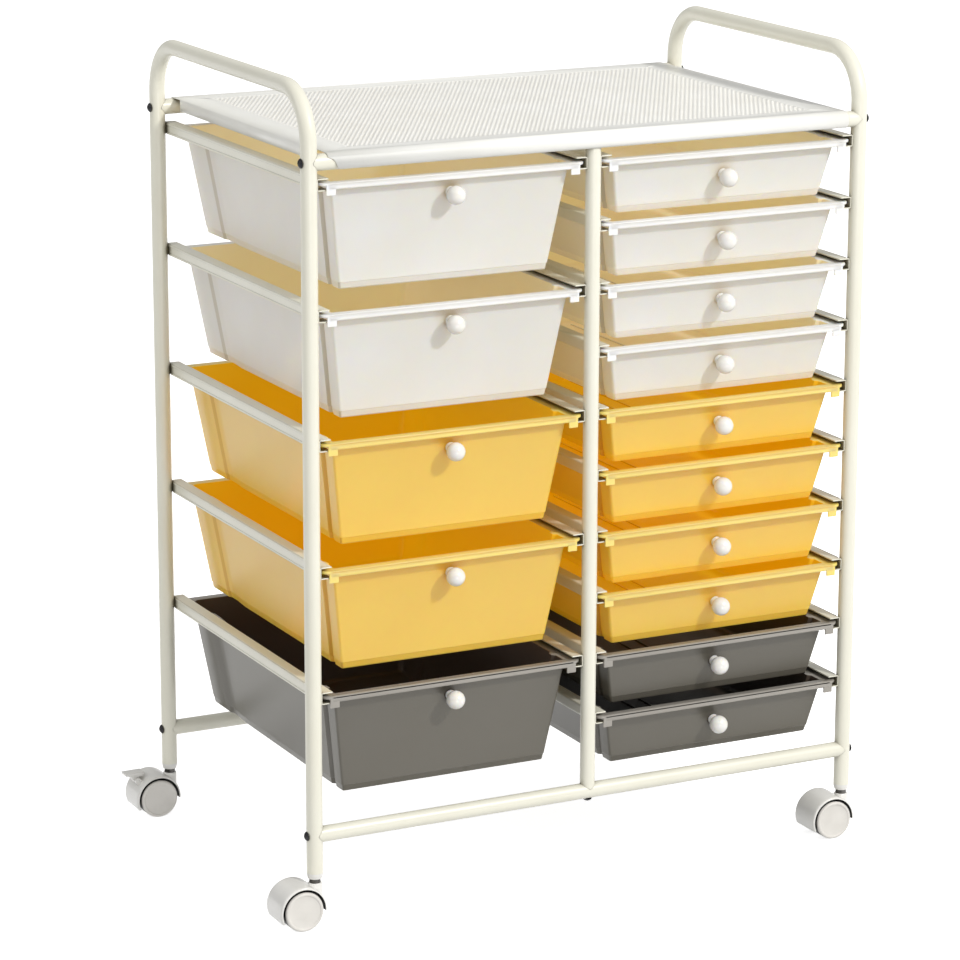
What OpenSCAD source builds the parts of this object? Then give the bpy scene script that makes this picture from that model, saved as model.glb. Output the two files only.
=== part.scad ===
// Rolling drawer cart: a welded tube frame with two columns of moulded
// drawers, a mesh shelf on top and four swivelling twin-wheel casters.
// Millimetres, X to the right, Y to the back, Z up, floor at Z = 0.
// The origin is the middle of the cart's footprint on the floor.

/* [Frame] */
// distance between the leg centres, left to right
frame_w = 600; // [560:10:680]
// distance between the leg centres, front to back
frame_d = 372; // [372:4:420]
// outer diameter of the leg and bar tubes
tube_d = 16; // [14:0.5:18]
// outer diameter of the centre posts
post_d = 15; // [13:0.5:17]
// wall of every tube
tube_wall = 1.4; // [1:0.1:2]
// height of the open leg ends above the floor
leg_bottom = 52; // [50:1:60]
// height of the lower bars above the leg ends
low_bar_up = 38; // [30:1:45]
// height of the upper bars above the first runner
top_bar_up = 21.5; // [20:0.5:30]
// height of the handles above the upper bars
handle_up = 66; // [50:1:90]
// bend radius of the handles, on the tube's centre line
handle_r = 50; // [30:1:60]

/* [Runners] */
// height of the lowest right runner above the lower bars
runner_up = 75; // [70:1:90]
// spacing of the runners in the right column
pitch = 62.5; // [60:0.5:75]
// height and depth of the C section
runner_h = 12; // [11:0.5:14]
// sheet of the C section
runner_t = 1.2; // [0.8:0.1:1.4]

/* [Drawers] */
// gap between the drawer rim and a runner's web
rim_gap = 1; // [0.6:0.1:2]
// thickness of the drawer rim
rim_t = 3; // [2:0.2:3.6]
// how far the rim stands out in front of the tub
rim_front = 13; // [10:0.5:15]
// height of the rim's front edge
rim_lip = 6.5; // [5:0.5:8]
// space between a large drawer and the rim below it
large_gap = 18; // [10:0.5:24]
// space between a small drawer and the rim below it
small_gap = 5.5; // [4.5:0.5:12]
// how far the side walls of a large drawer lean in
large_lean = 11.5; // [4:0.5:14]
// how far the side walls of a small drawer lean in
small_lean = 7; // [3:0.5:9]
// wall of the drawers
tub_t = 2; // [1.6:0.1:3]
// rear corner radius of the tubs at the rim
tub_r = 14; // [8:1:20]
// front corner radius of the tubs
front_r = 3; // [2:0.5:8]
// depth of the upright flutes in the side walls
flute = 2.2; // [0.6:0.2:2.6]
// diameter of the ball knobs
knob_d = 20; // [16:1:22]
// length of the neck behind each ball
knob_neck = 6; // [4:0.5:10]
// depth of a large drawer's knob below the rim
large_knob = 18; // [15:0.5:40]
// depth of a small drawer's knob below the rim
small_knob = 24; // [15:0.5:28]

/* [Shelf] */
// sheet of the shelf
shelf_t = 1; // [0.8:0.1:1.5]
// gap between the shelf ends and the legs
shelf_gap = 9; // [6:0.5:14]
// height of the shelf's side skirts
skirt_h = 12; // [8:1:16]
// openings across the shelf
mesh_cols = 12; // [4:2:12]
// openings from front to back
mesh_rows = 8; // [2:2:8]
// bars between the openings
mesh_bar = 13; // [8:1:18]

/* [Casters] */
// wheel diameter
wheel_d = 40; // [36:1:42]
// wheel width
wheel_w = 16.5; // [14:0.5:20]
// distance from the swivel axis to the axle
trail = 19.5; // [17:0.5:21]
// thickness of the hood's outer shell
hood_t = 3.2; // [2.5:0.1:4]

/* [Hidden] */
$fn = 48;
lx = frame_w/2;
ly = frame_d/2;
tr = tube_d/2;
pr = post_d/2;
z_low = leg_bottom + low_bar_up;
z_run0 = z_low + runner_up;
z_run9 = z_run0 + 9*pitch;
z_top = z_run9 + top_bar_up;
z_grip = z_top + handle_up;
// the runners' webs sink this far into the tubes they are welded to
weld = 0.5;
web_x = lx - tr + weld;
web_in = pr - weld;
run_len = frame_d + 4;
run_in = runner_h/2 - runner_t;
col_x = (web_x + web_in)/2;
rim_w = web_x - web_in - 2*runner_t - 2*rim_gap;
rim_y0 = -ly - 4;
rim_d = frame_d + 6;
rim_mid = rim_y0 + rim_d/2;
tub_w = rim_w - 2*runner_h - 13;
tub_y0 = rim_y0 + rim_front;
tub_d = rim_d - rim_front - 9.5;
glide = 0.1;
large_h = 2*pitch - large_gap;
small_h = pitch - small_gap;
step_h = 7;
step_in = 0.8;
wheel_r = wheel_d/2;
web_half = 3.2;
wheel_in = 3.8;
wheel_out = wheel_in + wheel_w;
hood_in = wheel_r + 1.4;
hood_out = hood_in + hood_t;
hood_half = wheel_out - 1.6;
neck_r = 7;
neck_top = leg_bottom - 10;
pivot_x = -(wheel_r - 0.4);
pivot_z = wheel_r - 0.8;
stem_z = 0.4*wheel_r;
pivot_r = 1.5;
pad_end = -33;
head_h = 2.8;
// X shift that puts the middle of the footprint on the origin
x_mid = (trail - pad_end - tr - head_h)/2;
screw_r = 2;
fit = 0.05;
cream = [0.93, 0.91, 0.85];
white = [0.95, 0.94, 0.92];
frost = [0.90, 0.88, 0.84];
yellow = [0.93, 0.76, 0.36];
grey = [0.44, 0.42, 0.40];
steel = [0.75, 0.75, 0.76];
dark = [0.16, 0.15, 0.14];

// Shared shapes

// A rectangle with rounded corners, as one polygon.
function corner(x, y, r, a0, n) =
  [for (k = [0 : n]) [x + r*cos(a0 + 90*k/n), y + r*sin(a0 + 90*k/n)]];
function rounded(w, d, r, n) = concat(
  corner(w/2 - r, d/2 - r, r, 0, n),
  corner(-w/2 + r, d/2 - r, r, 90, n),
  corner(-w/2 + r, -d/2 + r, r, 180, n),
  corner(w/2 - r, -d/2 + r, r, 270, n));

// The plan of a tub: tight front corners, wide rear ones, and an upright
// flute near each end of both side walls. t is how far it lies inside the
// outer wall, so that the flutes of both skins stay in line.
flute_marks = [[0.124, 0], [0.132, 1], [0.174, 1], [0.183, 0],
  [0.917, 0], [0.925, 1], [0.942, 1], [0.951, 0]];
function flute_x(w, t, m) = w/2 - m[1]*flute*(w + 2*t)/tub_w;
function flute_y(d, t, m) = d/2 + t - m[0]*(d + 2*t);
function tub_plan(w, d, rf, rb, t) = let (n = len(flute_marks)) concat(
  corner(w/2 - rb, d/2 - rb, rb, 0, 6),
  corner(-w/2 + rb, d/2 - rb, rb, 90, 6),
  [for (m = flute_marks) [-flute_x(w, t, m), flute_y(d, t, m)]],
  corner(-w/2 + rf, -d/2 + rf, rf, 180, 3),
  corner(w/2 - rf, -d/2 + rf, rf, 270, 3),
  [for (k = [1 : n]) let (m = flute_marks[n - k])
    [flute_x(w, t, m), flute_y(d, t, m)]]);

// A straight tube along Z.
module pipe(r, len) {
  difference() {
    cylinder(r = r, h = len);
    translate([0, 0, -1]) cylinder(r = r - tube_wall, h = len + 2);
  }
}

// A quarter bend of tube in the YZ plane, from +Y round to +Z.
module bend(r) {
  rotate([90, 0, 90])
    rotate_extrude(angle = 90)
      translate([handle_r, 0]) difference() {
        circle(r = r);
        circle(r = r - tube_wall);
      }
}

// The C section of a runner, web on the left, open to the right.
module runner_section() {
  r = 2;
  difference() {
    union() {
      translate([r, -runner_h/2]) square([runner_h - r, runner_h]);
      translate([0, -runner_h/2 + r]) square([r + 0.1, runner_h - 2*r]);
      translate([r, runner_h/2 - r]) circle(r = r);
      translate([r, -runner_h/2 + r]) circle(r = r);
    }
    translate([runner_t, -run_in]) square([runner_h, 2*run_in]);
  }
}

// A runner opening to +X, its web's back on X = 0.
module runner() {
  translate([0, run_len/2, 0])
    rotate([90, 0, 0])
      linear_extrude(height = run_len) runner_section();
}

// The runners' heights: every pitch, or every second pitch.
function right_z(i) = z_run9 - i*pitch;
function left_z(i) = z_run9 - 2*i*pitch;

// Frame

// One side: a bent tube that makes both legs and the handle.
module side_tube() {
  top_len = 2*(ly - handle_r);
  leg_len = z_grip - handle_r - leg_bottom;
  difference() {
    union() {
      for (s = [-1, 1])
        translate([0, s*ly, leg_bottom]) pipe(tr, leg_len);
      translate([0, ly - handle_r, z_grip - handle_r]) bend(tr);
      mirror([0, 1, 0])
        translate([0, ly - handle_r, z_grip - handle_r]) bend(tr);
      translate([0, top_len/2, z_grip]) rotate([90, 0, 0])
        pipe(tr, top_len);
    }
    for (s = [-1, 1], z = [z_low, z_top])
      translate([-tr - 1, s*ly, z]) rotate([0, 90, 0])
        cylinder(r = screw_r + 0.1, h = tube_d + 2, $fn = 24);
  }
}

module side_frame_left() {
  color(cream) translate([x_mid, 0, 0]) {
    translate([-lx, 0, 0]) side_tube();
    for (i = [0 : 4])
      translate([-web_x, 0, left_z(i)]) runner();
  }
}

module side_frame_right() {
  color(cream) translate([x_mid, 0, 0]) {
    translate([lx, 0, 0]) side_tube();
    for (i = [0 : 9])
      translate([web_x, 0, right_z(i)]) mirror([1, 0, 0]) runner();
  }
}

// Two posts with runners on both sides, saddled on the bars.
module centre_frame() {
  color(cream) translate([x_mid, 0, 0]) {
    difference() {
      for (s = [-1, 1])
        translate([0, s*ly, z_low]) difference() {
          cylinder(r = pr, h = z_top - z_low);
          translate([0, 0, tr + 14])
            cylinder(r = pr - tube_wall, h = z_top - z_low - 2*tr - 28);
        }
      for (s = [-1, 1], z = [z_low, z_top])
        translate([-20, s*ly, z]) rotate([0, 90, 0])
          cylinder(r = tr + fit, h = 40);
      for (s = [-1, 1])
        translate([0, s*ly, z_low])
          cylinder(r = screw_r + 0.1, h = z_top - z_low, $fn = 24);
    }
    for (i = [0 : 4])
      translate([-web_in, 0, left_z(i)]) mirror([1, 0, 0]) runner();
    for (i = [0 : 9])
      translate([web_in, 0, right_z(i)]) runner();
  }
}

// A cross bar: a tube with plugs in both ends for the frame screws.
module cross_bar(y, z) {
  plug = 18;
  color(cream) translate([x_mid, y, z]) difference() {
    translate([-lx, 0, 0]) rotate([0, 90, 0]) difference() {
      cylinder(r = tr, h = frame_w);
      translate([0, 0, tr + plug])
        cylinder(r = tr - tube_wall, h = frame_w - 2*tr - 2*plug);
    }
    for (s = [-1, 1])
      translate([s*lx, 0, -tube_d]) cylinder(r = tr + fit, h = 2*tube_d);
    for (s = [0, 1])
      mirror([s, 0, 0]) translate([-lx, 0, 0]) rotate([0, 90, 0])
        cylinder(r = screw_r + 0.1, h = tr + 15, $fn = 24);
    translate([0, 0, -tube_d])
      cylinder(r = screw_r + 0.1, h = 2*tube_d, $fn = 24);
  }
}

module top_bar_front() { cross_bar(-ly, z_top); }
module top_bar_rear() { cross_bar(ly, z_top); }
module low_bar_front() { cross_bar(-ly, z_low); }
module low_bar_rear() { cross_bar(ly, z_low); }

// A pan-head screw along -Z, the head's underside on Z = 0.
module screw(len, head_r) {
  difference() {
    union() {
      intersection() {
        cylinder(r = head_r, h = head_h + 0.2, $fn = 32);
        translate([0, 0, head_h - 5.8]) sphere(r = 5.8, $fn = 32);
      }
      translate([0, 0, -len]) cylinder(r = screw_r, h = len + 0.5, $fn = 24);
    }
    for (a = [0, 90])
      rotate([0, 0, a]) translate([-2.4, -0.4, 1.6]) cube([4.8, 0.8, 3]);
  }
}

module frame_screws() {
  color(dark) translate([x_mid, 0, 0])
    for (s = [0, 1], t = [-1, 1], z = [z_low, z_top])
      mirror([s, 0, 0]) translate([lx + tr, t*ly, z])
        rotate([0, 90, 0]) screw(tube_d + 13, 4.6);
}

module post_bolts() {
  color(dark) translate([x_mid, 0, 0])
    for (t = [-1, 1]) {
      translate([0, t*ly, z_low - tr]) rotate([180, 0, 0])
        screw(tube_d + 12, 4.6);
      translate([0, t*ly, z_top - tr + 12]) mirror([0, 0, 1])
        cylinder(r = screw_r, h = 24, $fn = 24);
    }
}

// Shelf: a sheet whose front and back edges roll over the upper bars.
module mesh_shelf() {
  half = lx - tr - shelf_gap;
  r = tr + fit;
  step_x = (2*half - 66)/mesh_cols;
  step_y = (frame_d - 52)/mesh_rows;
  hole_x = step_x - mesh_bar;
  hole_y = step_y - mesh_bar;
  color(cream) translate([x_mid, 0, z_top]) {
    difference() {
      union() {
        difference() {
          translate([-half, -ly, r]) cube([2*half, frame_d, shelf_t]);
          for (i = [0 : mesh_cols - 1], j = [0 : mesh_rows - 1])
            translate([(i + 0.5 - mesh_cols/2)*step_x - hole_x/2,
              (j + 0.5 - mesh_rows/2)*step_y - hole_y/2, r - 1])
              cube([hole_x, hole_y, shelf_t + 2]);
        }
        for (s = [0, 1]) mirror([0, s, 0]) translate([-half, -ly, 0]) {
          rotate([0, 90, 0]) difference() {
            cylinder(r = r + shelf_t, h = 2*half);
            translate([0, 0, -1]) cylinder(r = r, h = 2*half + 2);
            translate([-20, 0, -1]) cube([40, 20, 2*half + 2]);
            translate([0, -20, -1]) cube([20, 40, 2*half + 2]);
          }
          translate([0, -r - shelf_t, -tr + 1])
            cube([2*half, shelf_t, tr - 1]);
        }
      }
      // the rolled edges' left ends are cut to a curve, the right ones
      // have a rounded corner
      for (t = [0, 1]) mirror([0, t, 0]) {
        translate([-half, -ly - 2, 0]) rotate([90, 0, 0])
          linear_extrude(height = 20) polygon([[-1, 5], [2, 4.6], [4.5, 3.4],
            [6.5, 1.2], [8, -2], [9.5, -5], [12, -tr], [12, -20], [-1, -20]]);
        translate([half, -ly - 2, 0]) rotate([90, 0, 0])
          linear_extrude(height = 20) polygon([[1, -2], [0, -2],
            [-0.6, -4.2], [-2, -6], [-4.5, -tr], [-4.5, -20], [1, -20]]);
      }
    }
    for (s = [0, 1]) mirror([s, 0, 0]) {
      translate([-half, -ly + tr + 3, r + shelf_t - skirt_h])
        cube([shelf_t, frame_d - tube_d - 6, skirt_h]);
      for (t = [-1, 1])
        translate([-half, t*(ly - 46), r + shelf_t - skirt_h/2])
          rotate([0, -90, 0]) cylinder(r = 2, h = 0.7, $fn = 24);
    }
  }
}

// Plastic sockets pushed into the open leg ends.
module leg_sockets() {
  color(white) translate([x_mid, 0, 0])
    for (s = [-1, 1], t = [-1, 1])
      translate([s*lx, t*ly, leg_bottom]) difference() {
        union() {
          translate([0, 0, -5.5]) cylinder(r1 = tr - 1, r2 = tr, h = 3.5);
          translate([0, 0, -2]) cylinder(r = tr, h = 2);
          cylinder(r = tr - tube_wall - 0.02, h = 24);
        }
        translate([0, 0, -6]) cylinder(r = 4 + fit, h = 40, $fn = 32);
      }
}

// Drawers

// A tapered tub, its top on Z = 0 and its front wall on Y = 0. The back
// wall leans in by rear, the front and side walls by lean.
module taper(w, d, h, lean, rear, rf, rb, t) {
  y = d*lean/(lean + rear);
  translate([0, y, 0]) mirror([0, 0, 1])
    linear_extrude(height = h, slices = 1,
      scale = [(w - 2*lean)/w, (d - lean - rear)/d])
      translate([0, d/2 - y]) polygon(tub_plan(w, d, rf, rb, t));
}

// The nose along a drawer's front edge, seen from its left end: a bead on
// top with a groove behind it, and a lip turned down.
function nose() = [[4.6, rim_t/2], [4, rim_t/2], [3.6, 0.7], [3.2, 0.7],
  [2.8, 1.5], [2, 1.8], [1.1, 1.7], [0.4, 1.2], [0, 0.4],
  [0, rim_t/2 - rim_lip + 1.4], [0.3, rim_t/2 - rim_lip + 0.6],
  [1.1, rim_t/2 - rim_lip], [1.9, rim_t/2 - rim_lip + 0.3],
  [2.3, rim_t/2 - rim_lip + 1.1], [2.3, -rim_t/2 + 0.1],
  [4.6, -rim_t/2 + 0.1]];

// A drawer about its column's middle, the rim's mid-plane on Z = 0.
module drawer(h, lean, rear, knob_down) {
  top = rim_t/2;
  up_h = h - step_h;
  up_lean = lean*up_h/h;
  up_rear = rear*up_h/h;
  difference() {
    union() {
      // rim all round, with clipped front corners
      translate([0, rim_mid, -top])
        linear_extrude(height = rim_t) difference() {
          polygon(rounded(rim_w, rim_d, 5, 6));
          for (s = [-1, 1])
            translate([s*rim_w/2, -rim_d/2]) rotate([0, 0, s*28])
              translate([-9, -9]) square([18, 12]);
        }
      // beaded nose along the front edge
      translate([-rim_w/2 + runner_h + 1, rim_y0, 0]) rotate([90, 0, 90])
        linear_extrude(height = rim_w - 2*runner_h - 2) polygon(nose());
      // tabs beside the runners' lips
      for (s = [0, 1]) mirror([s, 0, 0])
        translate([rim_w/2 - runner_h - 10, rim_y0 + 0.6, -runner_h/2])
          cube([9.6, 6, runner_h/2]);
      // glides that ride on the runners' lower lips
      for (s = [0, 1]) mirror([s, 0, 0])
        translate([rim_w/2 - 7, rim_y0 + 14, -run_in + glide])
          cube([4, rim_d - 22, run_in - glide]);
      // tub, stepped in near the bottom
      translate([0, tub_y0, top])
        taper(tub_w, tub_d, up_h, up_lean, up_rear, front_r, tub_r, 0);
      translate([0, tub_y0 + up_lean + step_in, top - up_h + 0.01])
        taper(tub_w - 2*up_lean - 2*step_in,
          tub_d - up_lean - up_rear - 2*step_in,
          step_h, lean - up_lean, rear - up_rear, front_r, tub_r - 2, 0);
    }
    // inside
    translate([0, tub_y0 + tub_t, top + 0.01])
      taper(tub_w - 2*tub_t, tub_d - 2*tub_t, h - tub_t,
        lean*(h - tub_t)/h, rear*(h - tub_t)/h,
        max(front_r - tub_t, 0.8), tub_r - tub_t, tub_t);
    // hole for the knob's screw
    knob_place(h, lean, knob_down)
      cylinder(r = screw_r + 0.15, h = 20, center = true, $fn = 16);
  }
  // stiffening ribs along the floor
  for (s = [-1, 1])
    translate([s*10 - 1, tub_y0 + lean + 14, top - h + tub_t - 0.3])
      cube([2, tub_d - lean - rear - 28, 1.5]);
}

// Puts a child on the front wall at the knob, its Z axis pointing out.
module knob_place(h, lean, down) {
  a = atan(lean/h);
  translate([0, tub_y0 + (down + rim_t/2)*lean/h, -down])
    rotate([90 + a, 0, 0]) children();
}

// A ball knob on its neck, and the screw that holds it from inside.
module knob(h, lean, down) {
  r = knob_d/2;
  knob_place(h, lean, down) {
    difference() {
      union() {
        translate([0, 0, knob_neck + r - 1.5]) sphere(r = r);
        translate([0, 0, 0.02])
          cylinder(r1 = 5.4, r2 = 4, h = knob_neck + 2, $fn = 32);
      }
      translate([0, 0, -1]) cylinder(r = screw_r + 0.02, h = 13, $fn = 24);
    }
    translate([0, 0, -tub_t]) rotate([180, 0, 0]) screw(tub_t + 11, 4.2);
  }
}

module left_drawer(i) {
  translate([x_mid - col_x, 0, left_z(i)])
    drawer(large_h, large_lean, large_lean + 6, large_knob);
}
module right_drawer(i) {
  translate([x_mid + col_x, 0, right_z(i)])
    drawer(small_h, small_lean, small_lean + 2, small_knob);
}
module left_knob(i) {
  translate([x_mid - col_x, 0, left_z(i)])
    knob(large_h, large_lean, large_knob);
}
module right_knob(i) {
  translate([x_mid + col_x, 0, right_z(i)])
    knob(small_h, small_lean, small_knob);
}

module drawer_left_1() { color(frost) left_drawer(0); }
module drawer_left_2() { color(frost) left_drawer(1); }
module drawer_left_3() { color(yellow) left_drawer(2); }
module drawer_left_4() { color(yellow) left_drawer(3); }
module drawer_left_5() { color(grey) left_drawer(4); }
module drawer_right_01() { color(frost) right_drawer(0); }
module drawer_right_02() { color(frost) right_drawer(1); }
module drawer_right_03() { color(frost) right_drawer(2); }
module drawer_right_04() { color(frost) right_drawer(3); }
module drawer_right_05() { color(yellow) right_drawer(4); }
module drawer_right_06() { color(yellow) right_drawer(5); }
module drawer_right_07() { color(yellow) right_drawer(6); }
module drawer_right_08() { color(yellow) right_drawer(7); }
module drawer_right_09() { color(grey) right_drawer(8); }
module drawer_right_10() { color(grey) right_drawer(9); }

module knob_left_1() { color(white) left_knob(0); }
module knob_left_2() { color(white) left_knob(1); }
module knob_left_3() { color(white) left_knob(2); }
module knob_left_4() { color(white) left_knob(3); }
module knob_left_5() { color(white) left_knob(4); }
module knob_right_01() { color(white) right_knob(0); }
module knob_right_02() { color(white) right_knob(1); }
module knob_right_03() { color(white) right_knob(2); }
module knob_right_04() { color(white) right_knob(3); }
module knob_right_05() { color(white) right_knob(4); }
module knob_right_06() { color(white) right_knob(5); }
module knob_right_07() { color(white) right_knob(6); }
module knob_right_08() { color(white) right_knob(7); }
module knob_right_09() { color(white) right_knob(8); }
module knob_right_10() { color(white) right_knob(9); }

// Casters

// Puts a child at a caster: the axle's middle is the child's origin.
module at_caster(s, t) {
  translate([x_mid + s*lx - trail, t*ly, wheel_r]) children();
}

// Removes everything below the hood's two open edges.
module below_hood(w) {
  rotate([90, 0, 0]) translate([0, 0, -w])
    linear_extrude(height = 2*w)
      polygon([[0, 0], [60*cos(-4), 60*sin(-4)], [60, -60], [-60, -60],
        [60*cos(204), 60*sin(204)]]);
}

module hood(brake) {
  neck_h = neck_top - wheel_r;
  difference() {
    union() {
      rotate([90, 0, 0]) rotate_extrude()
        polygon([[0, -hood_half], [hood_out - 1.3, -hood_half],
          [hood_out - 0.4, 0.4 - hood_half], [hood_out, 1.3 - hood_half],
          [hood_out, hood_half - 1.3], [hood_out - 0.4, hood_half - 0.4],
          [hood_out - 1.3, hood_half], [0, hood_half]]);
      translate([trail, 0, 0]) cylinder(r = neck_r, h = neck_h);
      if (brake)
        for (s = [-1, 1]) translate([0, s*7.5, 0]) rotate([90, 0, 0])
          linear_extrude(height = 3, center = true) {
            translate([pivot_x, pivot_z]) circle(r = 3.2, $fn = 32);
            rotate(atan2(pivot_z, pivot_x)) translate([hood_in, -3.2])
              square([norm([pivot_x, pivot_z]) - hood_in, 6.4]);
          }
    }
    for (s = [0, 1]) mirror([0, s, 0])
      translate([0, web_half, 0]) rotate([-90, 0, 0])
        cylinder(r = hood_in, h = 30);
    below_hood(30);
    translate([trail, 0, stem_z])
      cylinder(r = 4.02, h = neck_h + 6 - stem_z, $fn = 32);
    rotate([90, 0, 0]) cylinder(r = 2.52, h = 20, center = true, $fn = 32);
    if (brake)
      translate([-60, -6, pivot_z - 4.2]) cube([60 + pivot_x + 4.4, 12, 20]);
  }
  if (brake)
    translate([pivot_x, 0, pivot_z]) rotate([90, 0, 0])
      cylinder(r = pivot_r, h = 17, center = true, $fn = 24);
}

module caster_hood_fl() { color(white) at_caster(-1, -1) hood(false); }
module caster_hood_fr() { color(white) at_caster(1, -1) hood(false); }
module caster_hood_rl() { color(white) at_caster(-1, 1) hood(true); }
module caster_hood_rr() { color(white) at_caster(1, 1) hood(true); }

// The stem with its shoulder, and the axle.
module caster_steel() {
  neck_h = neck_top - wheel_r;
  color(steel) {
    translate([trail, 0, stem_z + 0.2])
      cylinder(r = 4, h = neck_h + 32 - stem_z - 0.2, $fn = 32);
    translate([trail, 0, neck_h])
      cylinder(r = 5.6, h = leg_bottom - neck_top - 5.5 - 0.1, $fn = 32);
    rotate([90, 0, 0])
      cylinder(r = 2.5, h = 2*wheel_out - 6, center = true, $fn = 32);
  }
}

module caster_steel_fl() { at_caster(-1, -1) caster_steel(); }
module caster_steel_fr() { at_caster(1, -1) caster_steel(); }
module caster_steel_rl() { at_caster(-1, 1) caster_steel(); }
module caster_steel_rr() { at_caster(1, 1) caster_steel(); }

// A wheel on the +Y side, with a rimmed flat face and a blind bore.
module wheel() {
  color(white) rotate([-90, 0, 0]) difference() {
    rotate_extrude()
      polygon([[0, wheel_in], [wheel_r - 1.5, wheel_in],
        [wheel_r, wheel_in + 1.5], [wheel_r, wheel_out - 2],
        [wheel_r - 1.2, wheel_out - 0.5], [wheel_r - 2, wheel_out],
        [wheel_r - 3.4, wheel_out], [wheel_r - 4, wheel_out - 0.7],
        [0, wheel_out - 0.7]]);
    cylinder(r = 2.55, h = wheel_out - 2.8, $fn = 32);
  }
}

module wheel_front_fl() { at_caster(-1, -1) mirror([0, 1, 0]) wheel(); }
module wheel_back_fl() { at_caster(-1, -1) wheel(); }
module wheel_front_fr() { at_caster(1, -1) mirror([0, 1, 0]) wheel(); }
module wheel_back_fr() { at_caster(1, -1) wheel(); }
module wheel_front_rl() { at_caster(-1, 1) mirror([0, 1, 0]) wheel(); }
module wheel_back_rl() { at_caster(-1, 1) wheel(); }
module wheel_front_rr() { at_caster(1, 1) mirror([0, 1, 0]) wheel(); }
module wheel_back_rr() { at_caster(1, 1) wheel(); }

// The brake lever: a hub on the hood's pin and a two-layer foot pad.
module brake() {
  color(white) translate([pivot_x, 0, pivot_z]) difference() {
    union() {
      rotate([90, 0, 0]) cylinder(r = 3.2, h = 11.4, center = true, $fn = 32);
      translate([-6, -5.7, 0]) cube([8.5, 11.4, 4.6]);
      translate([pad_end - pivot_x + 1, -7.6, 4.2]) cube([19, 15.2, 2.2]);
      translate([pad_end - pivot_x, -8.5, 6.2]) cube([21, 17, 2.6]);
    }
    rotate([90, 0, 0])
      cylinder(r = pivot_r + fit, h = 20, center = true, $fn = 24);
  }
}

module brake_rl() { at_caster(-1, 1) brake(); }
module brake_rr() { at_caster(1, 1) brake(); }

side_frame_left();
side_frame_right();
centre_frame();
top_bar_front();
top_bar_rear();
low_bar_front();
low_bar_rear();
mesh_shelf();
frame_screws();
post_bolts();
leg_sockets();
drawer_left_1();
drawer_left_2();
drawer_left_3();
drawer_left_4();
drawer_left_5();
drawer_right_01();
drawer_right_02();
drawer_right_03();
drawer_right_04();
drawer_right_05();
drawer_right_06();
drawer_right_07();
drawer_right_08();
drawer_right_09();
drawer_right_10();
knob_left_1();
knob_left_2();
knob_left_3();
knob_left_4();
knob_left_5();
knob_right_01();
knob_right_02();
knob_right_03();
knob_right_04();
knob_right_05();
knob_right_06();
knob_right_07();
knob_right_08();
knob_right_09();
knob_right_10();
caster_hood_fl();
caster_hood_fr();
caster_hood_rl();
caster_hood_rr();
caster_steel_fl();
caster_steel_fr();
caster_steel_rl();
caster_steel_rr();
wheel_front_fl();
wheel_back_fl();
wheel_front_fr();
wheel_back_fr();
wheel_front_rl();
wheel_back_rl();
wheel_front_rr();
wheel_back_rr();
brake_rl();
brake_rr();
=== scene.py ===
# %% [markdown]
# # A rolling drawer cart
# A cart of this kind is a frame of bent and welded steel tube, powder coated
# in cream, with two columns of moulded drawers hanging by their rims in
# C-shaped runners. The solids come first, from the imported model; this script
# gives them their finishes and replaces the pieces whose real shape is finer
# than a plain solid: drawers, knobs, shelf and caster parts.

# %% Load the cart's solids
import math
import bmesh
import bpy
from mathutils import Matrix, Vector


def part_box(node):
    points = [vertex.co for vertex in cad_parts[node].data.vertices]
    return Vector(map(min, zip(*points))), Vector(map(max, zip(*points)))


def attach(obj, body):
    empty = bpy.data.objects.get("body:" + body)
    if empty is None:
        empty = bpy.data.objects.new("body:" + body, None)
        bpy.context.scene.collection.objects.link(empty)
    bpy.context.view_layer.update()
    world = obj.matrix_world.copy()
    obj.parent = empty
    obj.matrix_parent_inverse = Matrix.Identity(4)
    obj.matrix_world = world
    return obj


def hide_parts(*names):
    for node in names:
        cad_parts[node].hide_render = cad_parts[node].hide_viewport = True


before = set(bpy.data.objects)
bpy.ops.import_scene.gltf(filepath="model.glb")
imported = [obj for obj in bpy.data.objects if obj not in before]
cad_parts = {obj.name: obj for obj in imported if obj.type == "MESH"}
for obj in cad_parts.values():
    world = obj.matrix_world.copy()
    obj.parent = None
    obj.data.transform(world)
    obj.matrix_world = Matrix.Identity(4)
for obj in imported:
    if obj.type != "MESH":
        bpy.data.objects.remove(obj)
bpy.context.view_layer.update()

MM = 0.001

# %% [markdown]
# ## Where things are
# Nothing is placed by eye. The solids' own boxes give the middle of the cart,
# the heights of the bars and the places of the drawers, so a change of size in
# the solids moves the finer pieces with it.

# %% Read the main sizes from the solids
bar_lo, bar_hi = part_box("top_bar_front")
CENTRE_X = (bar_lo.x + bar_hi.x) / 2
BAR_Y = -(bar_lo.y + bar_hi.y) / 2
BAR_R = (bar_hi.z - bar_lo.z) / 2
TOP_BAR_Z = (bar_lo.z + bar_hi.z) / 2
LEG_X = CENTRE_X - (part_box("side_frame_left")[0].x + BAR_R)
print("legs at X = +-%.1f mm of the middle, bars at Y = +-%.1f mm" % (LEG_X / MM, BAR_Y / MM))

# %% [markdown]
# ## The photographer's camera
# A camera was fitted to the legs, bars and runners of the photograph. It
# stands about 4 m away, to the left and well above the shelf, with a long
# lens. Written as three unit vectors, the fitted angles turn straight into
# Blender's camera matrix, which looks along its own -Z. The fit gives the
# focal length in pixels; divided by the picture's width and multiplied by the
# width of the film, it becomes millimetres.

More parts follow.
